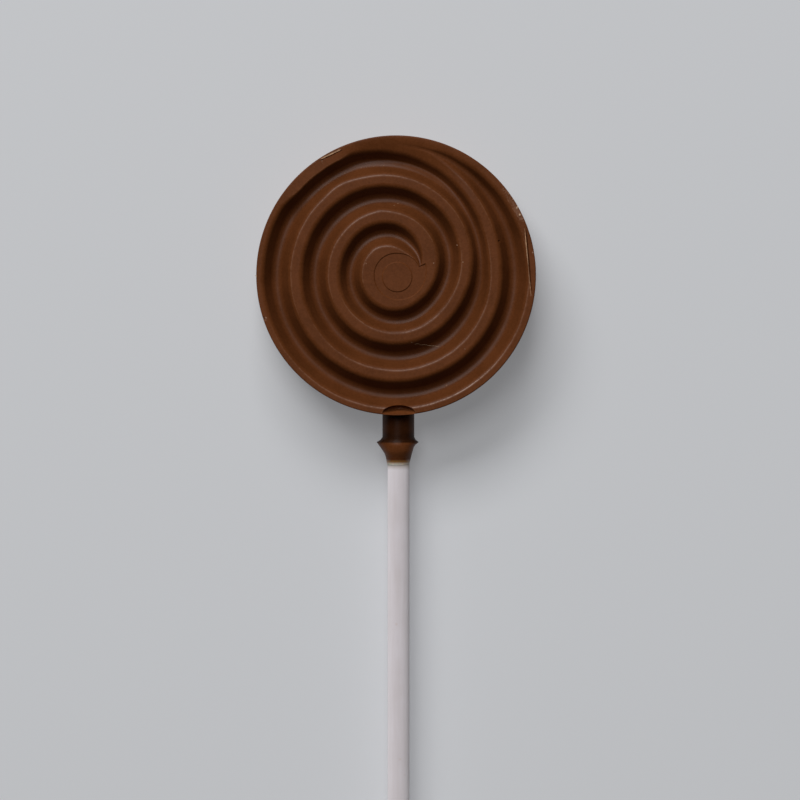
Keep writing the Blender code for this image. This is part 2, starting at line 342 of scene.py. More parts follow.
# The edge mark of wear and painted highlight: its patches, least share, how much it pales, and its coat
WEAR_AND_HIGHLIGHT_PATCHES = (0.42, 0.56)
LEAST_WEAR_AND_HIGHLIGHT = 0.25
WEAR_AND_HIGHLIGHT_SHOWS = 0.7
WEAR_AND_HIGHLIGHT_COAT = 0.9
GLOSS_COAT = 0.2
BREAK_GRAIN = (900.0, 3000.0, 1400.0, 0.3)
BREAK_PATCHES = (0.4, 0.6)
BREAK_ROUGHNESS = (0.6, 0.8)
BREAK_BUMP = (0.05 * MM, 0.8)
CRUMB_GRAIN = (1500.0, 4000.0, 1400.0, 0.3)
PALE_CRUMB_ROUGHNESS = (0.45, 0.65)
LIGHT_CRUMB_ROUGHNESS = (0.35, 0.55)
CRUMB_BUMP = (0.03 * MM, 0.6)
BUTTER_GRAIN = (500.0, 2500.0, 1400.0, 0.3)
BUTTER_ROUGHNESS = (0.25, 0.4)
BUTTER_BUMP = (0.02 * MM, 0.4)
BUTTER_PATCHES = (0.7, 1.0)
PAPER_GRAIN = (90.0, 3000.0, 120.0, 0.06)
FIBRE_SCALE = 1500.0
FIBRE_STRETCH = (1.0, 0.06, 1.0)
PAPER_ROUGHNESS = (0.72, 0.88)
PAPER_BUMP = (0.03 * MM, 0.4)
PAPER_SPECKS_SHOW = 0.5
# How strong the painted shadow on the stick is
PAPER_SHADOW_SHOWS = 0.9
FLOOR_GRAIN = (3.0, 50.0, 10.0, 0.01)
FLOOR_ROUGHNESS = (0.7, 0.8)
MIDDLE_RANGE = (0.3, 0.7)
NARROW_RANGE = (0.35, 0.65)


# ======== Node trees ========

class Tree:
    """A node tree in the making. Each call that adds a node gives back one of its output sockets."""

    def __init__(self, name, kind):
        self.tree = bpy.data.node_groups.new(name, kind)
        self.nodes = self.tree.nodes
        self.entry = self.nodes.new("NodeGroupInput")
        self.exit = self.nodes.new("NodeGroupOutput")

    def takes(self, name, kind="Float", default=None):
        socket = self.tree.interface.new_socket(name, in_out="INPUT", socket_type="NodeSocket" + kind)
        if default is not None:
            socket.default_value = default
        return self.entry.outputs[name]

    def takes_all(self, **defaults):
        """An input for each of these values, in order; a name's spaces are written as _."""
        return [self.takes(name.replace("_", " "), default=value) for name, value in defaults.items()]

    def gives(self, name, value, kind="Float"):
        self.tree.interface.new_socket(name, in_out="OUTPUT", socket_type="NodeSocket" + kind)
        self.tree.links.new(value, self.exit.inputs[name])

    def add(self, kind, *values, output=0, **settings):
        """A node with these settings, its inputs fed in order with sockets or values (None: left alone)."""
        node = self.nodes.new(kind)
        for name, setting in settings.items():
            setattr(node, name, setting)
        for socket, value in zip([s for s in node.inputs if s.enabled], values):
            feed(self.tree, socket, value)
        return [s for s in node.outputs if s.enabled][output]

    def math(self, operation, *values):
        return self.add("ShaderNodeMath", *values, operation=operation)

    # times_plus is the first value times the second, plus the third
    plus = partialmethod(math, "ADD")
    minus = partialmethod(math, "SUBTRACT")
    times = partialmethod(math, "MULTIPLY")
    over = partialmethod(math, "DIVIDE")
    times_plus = partialmethod(math, "MULTIPLY_ADD")
    above = partialmethod(math, "GREATER_THAN")
    below = partialmethod(math, "LESS_THAN")
    larger = partialmethod(math, "MAXIMUM")
    sine = partialmethod(math, "SINE")
    cosine = partialmethod(math, "COSINE")

    def from_to(self, value, start, end, before, after):
        """before up to start, after from end, and straight between them."""
        return self.add("ShaderNodeMapRange", value, start, end, before, after)

    def smooth(self, value, *start_end_before_after):
        """The same with a smooth step."""
        kind = "ShaderNodeMapRange"
        return self.add(kind, value, *start_end_before_after, interpolation_type="SMOOTHSTEP")

    def between(self, angle, grows, fades):
        """From 0 up to 1 over the first range of angles, and back to 0 over the second."""
        return self.times(self.smooth(angle, *grows, 0.0, 1.0), self.smooth(angle, *fades, 1.0, 0.0))

    def drift(self, place, scale, size, seed):
        """A smooth random shift, up to about half of size to each side."""
        value = self.add("ShaderNodeTexNoise", place, seed, scale, 2.0, noise_dimensions="4D")
        return self.times(self.minus(value, 0.5), size)

    def mix(self, share, before, after):
        return self.add("ShaderNodeMix", share, before, after)

    def parts(self, place):
        """The X, Y and Z of a place."""
        node = self.nodes.new("ShaderNodeSeparateXYZ")
        self.tree.links.new(place, node.inputs[0])
        return tuple(node.outputs)

    def store(self, geometry, name, value):
        """The geometry with this value kept on its points."""
        return self.add("GeometryNodeStoreNamedAttribute", geometry, None, name, value, data_type="FLOAT")

    def finished(self, geometry, material):
        """Makes this geometry the tree's result, as real mesh with its material."""
        real = self.add("GeometryNodeRealizeInstances", geometry)
        self.gives("Geometry", self.add("GeometryNodeSetMaterial", real, None, material), "Geometry")

    def group(self, tree, *values):
        return self.add("GeometryNodeGroup", *values, node_tree=tree)


def feed(tree, socket, value):
    if value is None:
        return
    if isinstance(value, bpy.types.NodeSocket):
        tree.links.new(value, socket)
    else:
        socket.default_value = value


def on_face_nodes(tree, angle, radius, height):
    """The point at an angle in degrees clockwise from +Y, as nodes."""
    turn = tree.math("RADIANS", angle)
    x = tree.times(radius, tree.sine(turn))
    y = tree.times(radius, tree.cosine(turn))
    return tree.add("ShaderNodeCombineXYZ", x, y, height)


def make_ridge_tree():
    """Distance from the spiral's centre to the middle of the ridge after this much winding."""
    tree = Tree("Ridge radius", "GeometryNodeTree")
    angle = tree.takes("Angle")
    radius = tree.takes("First Radius", default=FIRST_RIDGE_RADIUS)
    before = FIRST_RIDGE_RADIUS
    for start, end, after in RIDGE_EASES:
        radius = tree.plus(radius, tree.smooth(angle, start, end, 0.0, after - before))
        before = after
    tree.gives("Radius", radius)
    return tree.tree


def whole_grid(tree, columns, rows):
    """A flat grid to be wound into shape, with its column and row numbers as fields."""
    grid = tree.add("GeometryNodeMeshGrid", float(columns - 1), float(rows - 1), columns, rows)
    x, y, _ = tree.parts(tree.add("GeometryNodeInputPosition"))
    column = tree.math("ROUND", tree.plus(x, (columns - 1) / 2))
    row = tree.math("ROUND", tree.plus(y, (rows - 1) / 2))
    return grid, column, row


def not_ends(tree, column, columns):
    """1 on the columns from 1 to the last, and 0 on the one more at each end that closes the tube."""
    is_first = tree.below(column, 0.5)
    is_last = tree.above(column, columns + 0.5)
    return tree.minus(1.0, tree.plus(is_first, is_last))


def close_tree(tree, grid, place, material):
    """Wraps the grid onto its places, welds where it meets itself, and gives it its material."""
    wrapped = tree.add("GeometryNodeSetPosition", grid, None, place)
    tree.finished(tree.add("GeometryNodeMergeByDistance", wrapped, None, WELD_DISTANCE), material)


def ramp_share(tree, angle):
    """How much of the rim's ramp there is at an angle."""
    return tree.between(angle, RAMP_RISES, RAMP_FADES)


def ramp_drop(tree, radius, steepness):
    """How far the rim's ramp lies below the face, starting level at its outer edge."""
    inwards = tree.larger(tree.minus(RAMP_EDGE_RADIUS, radius), 0.0)
    squares = tree.times_plus(inwards, inwards, RAMP_EASE * RAMP_EASE)
    return tree.times(tree.minus(tree.math("SQRT", squares), RAMP_EASE), steepness)


def make_groove_tree(ridge_tree):
    """The groove as a closed solid to be cut out of the face, wound along the spiral."""
    tree = Tree("Spiral groove", "GeometryNodeTree")
    material = tree.takes("Material", "Material")
    start, end = tree.takes_all(Start_Angle=GROOVE_START, End_Angle=GROOVE_END)
    ridge_width, bulge = tree.takes_all(Ridge_Width=RIDGE_WIDTH, Outer_Bulge=OUTER_BULGE)
    depth_ratio, slope = tree.takes_all(Depth_Ratio=GROOVE_DEPTH_RATIO, Wall_Slope=GROOVE_WALL_SLOPE)
    rounding, wander = tree.takes_all(Edge_Rounding=RIDGE_EDGE_ROUNDING, Wander=GROOVE_WANDER)
    waver = tree.takes("Waver", default=EDGE_WAVER)

    # One column more at each end closes the tube to a point, and one row more closes it over the top
    side_rows = GROOVE_BOTTOM_FACETS + RIDGE_EDGE_FACETS + 2
    section_rows = 2 * side_rows + 1
    grid, column, row = whole_grid(tree, GROOVE_COLUMNS + 2, section_rows + 1)
    angle = tree.from_to(column, 1.0, float(GROOVE_COLUMNS), start, end)
    from_middle = tree.minus(tree.math("MODULO", row, float(section_rows)), float(side_rows))
    side = tree.math("SIGN", from_middle)
    row = tree.math("ABSOLUTE", from_middle)
    is_section = not_ends(tree, column, GROOVE_COLUMNS)

    # Middle and half width of the groove between a turn of the ridge and the turn outside it
    half_ridge = tree.times(ridge_width, 0.5)
    inner = tree.plus(tree.group(ridge_tree, angle), half_ridge)
    turn_before = tree.minus(angle, 360.0)
    outer = tree.minus(tree.group(ridge_tree, turn_before), half_ridge)
    outer = tree.times_plus(bulge, tree.between(angle, BULGE_GROWS, BULGE_FADES), outer)
    inset = tree.between(angle, INSET_GROWS, INSET_FADES)
    outer = tree.mix(inset, outer, INSET_RADIUS)
    left = tree.from_to(angle, GROOVE_TAPER_START, end, 1.0, 0.0)
    taper = tree.math("POWER", left, GROOVE_TAPER_POWER)
    room = tree.times(tree.minus(outer, inner), taper)
    half_width = tree.times(room, 0.5)
    middle = tree.plus(inner, half_width)
    least = tree.smooth(angle, *GROOVE_DEEPENS, FIRST_HALF_WIDTH, LEAST_HALF_WIDTH)
    half_width = tree.larger(half_width, least)
    spot = on_face_nodes(tree, angle, middle, 0.0)
    steady = tree.smooth(half_width, *STEADY_HALF_WIDTHS, 0.0, 1.0)
    sway = tree.drift(spot, GROOVE_WANDER_SCALE, wander, SWAY_SEED)
    middle = tree.times_plus(sway, steady, middle)
    swell = tree.drift(spot, GROOVE_WANDER_SCALE, wander, SWELL_SEED)
    half_width = tree.times_plus(swell, steady, half_width)

    # The rounded bottom, whose arc meets the straight walls at their slope
    sine = tree.sine(slope)
    cosine = tree.cosine(slope)
    arc_rise = tree.minus(1.0, cosine)
    arc = tree.over(tree.minus(sine, tree.times(depth_ratio, cosine)), arc_rise)
    arc_turn = tree.times(slope, tree.over(row, float(GROOVE_BOTTOM_FACETS)))
    arc_x = tree.times(arc, tree.sine(arc_turn))
    arc_z = tree.times(arc, tree.minus(1.0, tree.cosine(arc_turn)))
    bottom_x = tree.times(half_width, arc_x)
    bottom_z = tree.times(half_width, tree.minus(arc_z, depth_ratio))

    # The rounded edge of the ridge, from the wall's slope to level
    inset = tree.times(inset, tree.above(side, 0.0))
    rounding = tree.times(rounding, tree.mix(inset, 1.0, INSET_ROUNDING))
    edge_round = tree.math("MINIMUM", rounding, half_width)
    first_edge_row = GROOVE_BOTTOM_FACETS + 1.0
    last_edge_row = side_rows - 1.0
    edge_turn = tree.from_to(row, first_edge_row, last_edge_row, slope, 0.0)
    edge_tangent = tree.math("TANGENT", tree.times(slope, 0.5))
    edge_out = tree.minus(edge_tangent, tree.sine(edge_turn))
    edge_x = tree.times_plus(edge_round, edge_out, half_width)
    edge_drop = tree.minus(tree.cosine(edge_turn), 1.0)
    edge_z = tree.times_plus(edge_round, edge_drop, EDGE_LIFT)

    in_edge = tree.above(row, GROOVE_BOTTOM_FACETS + 0.5)
    is_top = tree.above(row, side_rows - 0.5)
    x = tree.mix(in_edge, bottom_x, edge_x)
    z = tree.mix(in_edge, bottom_z, edge_z)
    z = tree.mix(is_top, z, CUT_MARGIN)
    x = tree.times(tree.times(x, side), is_section)
    radius = tree.plus(middle, x)
    edge_spot = on_face_nodes(tree, angle, radius, 0.0)
    ragged = tree.drift(edge_spot, EDGE_WAVER_SCALE, waver, WAVER_SEED)
    sure = tree.times(tree.times(in_edge, steady), is_section)
    radius = tree.times_plus(ragged, sure, radius)
    on_inner = tree.times(tree.below(side, 0.0), in_edge)
    for kink, size in KINKS:
        jog = tree.between(angle, (kink - KINK_REACH, kink), (kink, kink + KINK_REACH))
        radius = tree.times_plus(tree.times(jog, on_inner), size, radius)

    # The groove starts as a soft shallow dip
    opened = tree.smooth(angle, *GROOVE_DEEPENS, LEAST_DEPTH_SHARE, 1.0)
    below = tree.times(tree.minus(z, EDGE_LIFT), opened)
    z = tree.mix(is_top, tree.plus(below, EDGE_LIFT), z)

    # It follows the rim's ramp down, and so does the wall beside the ramp, less and less into the groove
    off_middle = tree.over(tree.minus(radius, middle), half_width)
    beside = tree.times(ramp_share(tree, angle), tree.smooth(off_middle, *RAMP_REACHES, 0.0, 1.0))
    within = ramp_share(tree, tree.plus(angle, 360.0))
    share = tree.times(tree.plus(beside, within), tree.minus(1.0, is_top))
    z = tree.minus(z, tree.times(ramp_drop(tree, radius, math.tan(RAMP_SLOPE)), share))
    z = tree.times(z, is_section)

    # Painted highlight: paler and glossier where an edge that faces the light turns down, and stronger
    # towards the bottom
    highlight_tilt = tree.mix(inset, HIGHLIGHT_TILT, 0.0)
    highlight_range = tree.mix(inset, HIGHLIGHT_TILT_RANGE, INSET_HIGHLIGHT_RANGE)
    off_highlight = tree.math("ABSOLUTE", tree.minus(edge_turn, highlight_tilt))
    wear_and_highlight = tree.from_to(off_highlight, 0.0, highlight_range, in_edge, 0.0)
    off_direction = tree.math("RADIANS", tree.minus(angle, HIGHLIGHT_DIRECTION))
    facing = tree.times(tree.cosine(off_direction), tree.times(side, -1.0))
    facing = tree.smooth(facing, *HIGHLIGHT_FACING, 0.0, 1.0)
    facing = tree.larger(facing, tree.times(inset, INSET_HIGHLIGHT))
    wear_and_highlight = tree.times(wear_and_highlight, facing)
    wear_and_highlight = tree.times(wear_and_highlight, tree.smooth(angle, *HIGHLIGHT_GROWS, 0.0, 1.0))
    boosted = tree.times_plus(tree.between(angle, HIGHLIGHT_BOOST_GROWS, HIGHLIGHT_BOOST_FADES), HIGHLIGHT_BOOST, 1.0)
    wear_and_highlight = tree.times(wear_and_highlight, boosted)
    marked = tree.store(grid, "wear_and_highlight", wear_and_highlight)

    # The bottom is glossier than the walls; painted shade makes the groove a little darker than the face,
    # fading out over the ridge's rounded edge
    glossy = tree.smooth(row, *GLOSSY_ROWS, 1.0, 0.0)
    marked = tree.store(marked, "gloss", glossy)
    dark = tree.times(tree.times(tree.over(edge_turn, slope), GROOVE_PAINTED_SHADE), opened)
    marked = tree.store(marked, "dark", dark)
    close_tree(tree, marked, on_face_nodes(tree, angle, radius, z), material)
    return tree.tree


def make_ramp_tree(ridge_tree):
    """The gentle ramp from the rim down to the first groove, as a solid to be cut out."""
    tree = Tree("Rim ramp", "GeometryNodeTree")
    material = tree.takes("Material", "Material")
    slope, edge_radius = tree.takes_all(Slope=RAMP_SLOPE, Edge_Radius=RAMP_EDGE_RADIUS)
    section_rows = RAMP_ROWS + 2
    grid, column, row = whole_grid(tree, RAMP_COLUMNS + 2, section_rows + 1)
    angle = tree.from_to(column, 1.0, float(RAMP_COLUMNS), RAMP_START, RAMP_END)
    row = tree.math("MODULO", row, float(section_rows))
    is_section = not_ends(tree, column, RAMP_COLUMNS)

    # The ramp ends a little past the wall of the groove
    outside = tree.group(ridge_tree, tree.minus(angle, 360.0))
    outside = tree.times_plus(tree.between(angle, BULGE_GROWS, BULGE_FADES), OUTER_BULGE, outside)
    reach = tree.minus(tree.minus(edge_radius, outside), -RAMP_PAST_WALL - RIDGE_WIDTH / 2)
    inwards = tree.from_to(row, 0.0, RAMP_ROWS - 1.0, 0.0, reach)
    depth = ramp_drop(tree, tree.minus(edge_radius, inwards), tree.math("TANGENT", slope))
    z = tree.minus(EDGE_LIFT, tree.times(depth, ramp_share(tree, angle)))
    is_top = tree.above(row, RAMP_ROWS - 0.5)
    z = tree.mix(is_top, z, CUT_MARGIN)
    back_out = tree.above(row, RAMP_ROWS + 0.5)
    inwards = tree.mix(back_out, inwards, 0.0)
    end_x = tree.times(tree.minus(1.0, is_section), tree.times(reach, 0.5))
    inwards = tree.times_plus(inwards, is_section, end_x)
    z = tree.mix(is_section, CUT_MARGIN / 2, z)
    radius = tree.minus(edge_radius, inwards)
    close_tree(tree, grid, on_face_nodes(tree, angle, radius, z), material)
    return tree.tree


def make_pocket_tree():
    """The shallow pocket between the innermost turn and the raised centre, as a solid to be cut out."""
    tree = Tree("Centre pocket", "GeometryNodeTree")
    material = tree.takes("Material", "Material")
    depth, wall_run = tree.takes_all(Depth=POCKET_DEPTH, Wall_Run=POCKET_WALL_RUN)
    boss_radius = tree.takes("Boss Radius", default=BOSS_RADIUS)
    section_rows = 6
    grid, column, row = whole_grid(tree, POCKET_COLUMNS + 1, section_rows + 1)
    column = tree.math("MODULO", column, float(POCKET_COLUMNS))
    row = tree.math("MODULO", row, float(section_rows))
    angle = tree.from_to(column, 0.0, POCKET_COLUMNS - 1.0, POCKET_START, POCKET_END)
    left = tree.from_to(angle, POCKET_START, POCKET_SETTLES, 1.0, 0.0)
    widening = tree.math("POWER", left, POCKET_SETTLING_POWER)
    edge = tree.times_plus(widening, POCKET_WIDE_RADIUS - POCKET_RADIUS, POCKET_RADIUS)
    opening = tree.smooth(angle, POCKET_OPENS, POCKET_END, 0.0, POCKET_TIP_RADIUS - POCKET_RADIUS)
    edge = tree.plus(edge, opening)

    # Rows: 0 and 1 the outer wall's top, 2 its foot, 3 the boss's foot, 4 and 5 its top
    in_boss = tree.above(row, 2.5)
    is_foot = tree.math("COMPARE", row, 2.5, 0.6)

    # Where the wide start meets the narrow end, the wall leans back at its top and forward at its foot
    is_first = tree.below(column, 0.5)
    back = tree.times(tree.times(is_first, tree.minus(1.0, is_foot)), POCKET_END_TURN)
    top_angle = tree.minus(angle, back)
    late = tree.smooth(angle, POCKET_END - 2 * POCKET_END_TURN, POCKET_END, 0.0, POCKET_END_TURN)
    foot_angle = tree.larger(tree.plus(angle, late), POCKET_START + POCKET_END_TURN)
    angle = tree.mix(is_foot, top_angle, foot_angle)
    is_top = tree.math("COMPARE", tree.math("ABSOLUTE", tree.minus(row, 2.5)), 2.5, 0.1)
    run = tree.times(is_foot, wall_run)
    outer = tree.minus(edge, run)
    inner = tree.plus(boss_radius, run)
    radius = tree.mix(in_boss, outer, inner)
    boss_angle = tree.from_to(column, 0.0, float(POCKET_COLUMNS), POCKET_START, POCKET_START + 360.0)
    angle = tree.mix(in_boss, angle, boss_angle)
    z = tree.mix(is_foot, EDGE_LIFT, tree.times(depth, -1.0))
    z = tree.mix(is_top, z, CUT_MARGIN)
    shift = tree.add("ShaderNodeCombineXYZ", *(tree.times(in_boss, c) for c in BOSS_SHIFT), 0.0)
    place = on_face_nodes(tree, angle, radius, z)
    place = tree.add("ShaderNodeVectorMath", place, shift, operation="ADD")
    close_tree(tree, grid, place, material)
    return tree.tree


def make_roll_tree():
    """A sheet of paper wound into a tight roll round Y, open along its outer edge."""
    tree = Tree("Rolled paper", "GeometryNodeTree")
    material = tree.takes("Material", "Material")
    core, radius = tree.takes_all(Core_Radius=ROLL_CORE_RADIUS, Outer_Radius=STICK_RADIUS)
    length, seam = tree.takes_all(Length=STICK_HIGH.y - STICK_LOW.y, Seam_Angle=ROLL_SEAM_ANGLE)
    grid, column, row = whole_grid(tree, ROLL_COLUMNS, ROLL_ROWS)
    along = tree.over(column, ROLL_COLUMNS - 1.0)
    turn = tree.times_plus(along, 360.0 * ROLL_TURNS, seam)
    distance = tree.from_to(along, 0.0, 1.0, core, radius)
    x, z, _ = tree.parts(on_face_nodes(tree, turn, distance, 0.0))
    y = tree.times(tree.over(row, ROLL_ROWS - 1.0), length)
    place = tree.add("ShaderNodeCombineXYZ", x, y, z)
    tree.finished(tree.add("GeometryNodeSetPosition", grid, None, place), material)
    return tree.tree


def make_crumb_tree():
    """Small uneven crumbs, one on each point of the mesh, as large as the point's size attribute says."""
    tree = Tree("Crumbs", "GeometryNodeTree")
    points = tree.takes("Geometry", "Geometry")
    material = tree.takes("Material", "Material")
    seed = tree.takes("Seed", "Int")
    ball = tree.add("GeometryNodeMeshIcoSphere", 1.0, CRUMB_SUBDIVISIONS)
    rough = tree.add("ShaderNodeTexNoise", None, CRUMB_LUMP_SCALE, 1.0)
    push = tree.times(tree.minus(rough, 0.5), CRUMB_LUMPS)
    out = tree.add("ShaderNodeVectorMath", tree.add("GeometryNodeInputNormal"), push, operation="SCALE")
    crumb = tree.add("GeometryNodeSetPosition", ball, None, None, out)
    turn, shape = (
        tree.add("FunctionNodeRandomValue", *limits, None, seed, data_type="FLOAT_VECTOR")
        for limits in (CRUMB_TURNS, CRUMB_SHAPES)
    )
    size = tree.add("GeometryNodeInputNamedAttribute", "size", data_type="FLOAT")
    scale = tree.add("ShaderNodeVectorMath", shape, size, operation="SCALE")
    placed = tree.add("GeometryNodeInstanceOnPoints", points, None, crumb, None, None, turn, scale)
    tree.finished(placed, material)
    return tree.tree


def new_object(name, data):
    obj = bpy.data.objects.new(name, data)
    bpy.context.scene.collection.objects.link(obj)
    return obj


def evaluated_mesh(obj):
    """A plain mesh of the object with its modifiers applied."""
    graph = bpy.context.evaluated_depsgraph_get()
    return bpy.data.meshes.new_from_object(obj.evaluated_get(graph))


def take_mesh(obj):
    """The object's evaluated mesh, with the object itself removed."""
    mesh = evaluated_mesh(obj)
    bpy.data.objects.remove(obj)
    return mesh


def tree_mesh(name, tree, base=None, **values):
    """The mesh that a node tree makes, with these values for its inputs and its defaults for the others."""
    obj = new_object(name, base or bpy.data.meshes.new(name))
    modifier = obj.modifiers.new(name, "NODES")
    modifier.node_group = tree
    sockets = {item.name: item.identifier for item in tree.interface.items_tree if item.in_out == "INPUT"}
    for label, value in values.items():
        modifier[sockets[label]] = value
    return take_mesh(obj)


# ======== Mesh work ========

def facing_out(mesh, weld=0.0):
    """The mesh with its faces turned outwards, and with points closer than the weld made one."""
    shell = bmesh.new()
    shell.from_mesh(mesh)
    if weld:
        bmesh.ops.remove_doubles(shell, verts=shell.verts, dist=weld)
    bmesh.ops.recalc_face_normals(shell, faces=shell.faces)
    shell.to_mesh(mesh)
    shell.free()
    return mesh


def on_face(angle, radius, height=0.0):
    turn = math.radians(angle)
    return Vector((radius * math.sin(turn), radius * math.cos(turn), height))


def turned_mesh(name, profile, segments, material, reach=None):
    """A solid turned about Z from a profile of (radius, height) that starts and ends on the axis.

    reach(angle, radius, height) may change the radius of a point.
    """
    points = [(0.0, 0.0, profile[0][1])]
    for radius, height in profile[1:-1]:
        for i in range(segments):
            turn = 2 * math.pi * (i + 0.5) / segments
            r = reach(turn, radius, height) if reach else radius
            points.append((r * math.cos(turn), r * math.sin(turn), height))
    points.append((0.0, 0.0, profile[-1][1]))
    rings = len(profile) - 2
    faces = []
    for i in range(segments):
        j = (i + 1) % segments
        faces.append((0, 1 + i, 1 + j))
        for ring in range(rings - 1):
            near = 1 + ring * segments
            far = near + segments
            faces.append((near + i, far + i, far + j, near + j))
        last = 1 + (rings - 1) * segments
        faces.append((len(points) - 1, last + j, last + i))
    mesh = bpy.data.meshes.new(name)
    mesh.from_pydata(points, [], faces)
    mesh.materials.append(material)
    return facing_out(mesh)


def mark(mesh, name, value_at):
    """Keeps a value for each point of the mesh, worked out from its place."""
    values = [value_at(vertex.co) for vertex in mesh.vertices]
    mesh.attributes.new(name, "FLOAT", "POINT").data.foreach_set("value", values)


def carve(obj, name, mesh, operation="DIFFERENCE"):
    """Cuts a closed mesh out of the object, or joins it on."""
    cutter = new_object(name, mesh)
    boolean = obj.modifiers.new(name, "BOOLEAN")
    boolean.operation = operation
    boolean.solver = "MANIFOLD"
    boolean.material_mode = "TRANSFER"
    boolean.object = cutter
    result = evaluated_mesh(obj)
    obj.modifiers.remove(boolean)
    old = obj.data
    obj.data = result
    bpy.data.meshes.remove(old)
    bpy.data.objects.remove(cutter)


# ======== The chocolate ========

def arc_points(centre, radius, first, last, facets):
    """Points of an arc in the (radius, height) plane, angles in degrees from outwards towards up."""
    turns = [math.radians(first + (last - first) * i / facets) for i in range(facets + 1)]
    return [(centre[0] + radius * math.cos(t), centre[1] + radius * math.sin(t)) for t in turns]


def make_disc(material):
    face = FACE_EDGE_ROUNDING
    back = BACK_EDGE_ROUNDING
    profile = [(0.0, DISC_THICKNESS)]
    profile += arc_points((DISC_RADIUS - face, DISC_THICKNESS - face), face, 90.0, 0.0, EDGE_FACETS)
    profile += arc_points((DISC_RADIUS - back, back), back, 0.0, -90.0, EDGE_FACETS)
    profile += [(0.0, 0.0)]
    return new_object("chocolate_disc", turned_mesh("disc", profile, DISC_SEGMENTS, material))


def make_neck(material):
    """Neck, flange and collar, with fine tool lines round the neck and a ragged fin round the flange."""
    rows = [NECK_TOP]
    while rows[-1] < NECK_PROFILE[-1][0] - NECK_STEP:
        step = NECK_STEP if rows[-1] > NECK_LINES_FROM else 4 * NECK_STEP
        rows.append(rows[-1] + step)
    rows.append(NECK_PROFILE[-1][0])
    profile = [(0.0, NECK_TOP)] + [(neck_radius(d), d) for d in rows] + [(0.0, rows[-1])]
    mesh = turned_mesh("neck", profile, TURNED_SEGMENTS, material, neck_reach)
    # Painted shade: the neck and the collar's end are blended towards near-black
    mark(mesh, "dark", lambda place: neck_painted_shade(place.z))
    return along_stick(mesh)


def ramp_between(value, start, end, before, after):
    share = min(max((value - start) / (end - start), 0.0), 1.0)
    return before + (after - before) * share


def neck_painted_shade(distance):
    """Painted shade: the neck darker than the disc up to the flange's edge, the collar's end a little
    darker.
    """
    grown = ramp_between(distance, *NECK_SHADE_FROM, *NECK_SHADE_SHARES)
    neck = grown * ramp_between(distance, *NECK_SHADE_TO, 1.0, 0.0)
    return neck + ramp_between(distance, *COLLAR_SHADE_GROWS, 0.0, COLLAR_PAINTED_SHADE)


def along_profile(profile, distance):
    """The radius that a profile of (distance, radius) has at a distance, straight between its points."""
    for (near, before), (far, after) in zip(profile, profile[1:]):
        if distance <= far:
            return before + (after - before) * max(distance - near, 0.0) / (far - near)
    return profile[-1][1]


def neck_radius(distance):
    """The profile's radius at a distance from the disc's centre, with the tool lines on the neck."""
    radius = along_profile(NECK_PROFILE, distance)
    lines = math.sin(2 * math.pi * distance / TOOL_LINE_PITCH)
    return radius + TOOL_LINE_DEPTH / 2 * lines * (distance < NECK_END)


def neck_reach(turn, radius, distance):
    """The flange is a dome with a thin uneven fin to its left and right, where the mould's halves met."""
    side = LEFT_FIN_PROFILE if math.cos(turn) < 0 else RIGHT_FIN_PROFILE
    if distance > side[0][0]:
        radius += (along_profile(side, distance) - radius) * abs(math.cos(turn)) ** FIN_THINNESS
    fin = max(0.0, 1.0 - abs(distance - FLANGE_TIP) / FLANGE_FIN_WIDTH)
    uneven = noise.noise(Vector((math.cos(turn), math.sin(turn), 0.0)) * FIN_WAVE_SCALE)
    fine = noise.noise(Vector((math.cos(turn), math.sin(turn), 0.5)) * FIN_GRAIN_SCALE)
    return radius + FLANGE_RAGGED * fin * (uneven + 0.5 * fine)


def along_stick(mesh):
    """Lays a mesh that was turned about Z on the stick's axis, with its heights running along -Y."""
    axis = Matrix.Translation((STICK_AXIS_X, 0.0, STICK_AXIS_Z))
    mesh.transform(axis @ Matrix.Rotation(math.radians(90.0), 4, "X"))
    return mesh


def make_bore(name, radius, near, far, material):
    """A straight hole on the stick's axis, as a solid to be cut out."""
    profile = [(0.0, far), (radius, far), (radius, near), (0.0, near)]
    return along_stick(turned_mesh(name, profile, TURNED_SEGMENTS, material))


def make_scoop(material):
    """The thumbnail-shaped dent in the face above the neck, deepest under its arch, with a painted
    highlight along its edge.
    """
    profile = [(0.0, -1.0)]
    profile += [(math.sin(t), -math.cos(t)) for t in map(math.radians, SCOOP_BOWL_ANGLES)]
    profile += arc_points((1.0 + SCOOP_EDGE, -SCOOP_EDGE), SCOOP_EDGE, *SCOOP_EDGE_ANGLES, EDGE_FACETS)
    profile += [(1.0 + SCOOP_EDGE, 1.0), (0.0, 1.0)]
    mesh = turned_mesh("scoop", profile, TURNED_SEGMENTS, material)
    # Painted highlight: the rounding along the edge is paler and glossier
    mark(mesh, "wear_and_highlight", lambda place: float(-2.0 * SCOOP_EDGE < place.z < 0.0))
    for vertex in mesh.vertices:
        if vertex.co.z < 0.0:
            rise = max(vertex.co.y, 0.0) ** SCOOP_RISE_POWER
            vertex.co.z *= SCOOP_LIP_SHARE + (1.0 - SCOOP_LIP_SHARE) * rise
    mesh.transform(Matrix.Diagonal((SCOOP_HALF_WIDTH, SCOOP_HALF_HEIGHT, SCOOP_DEPTH, 1.0)))
    mesh.transform(Matrix.Translation((SCOOP_X, -SCOOP_DISTANCE, DISC_THICKNESS)))
    return mesh


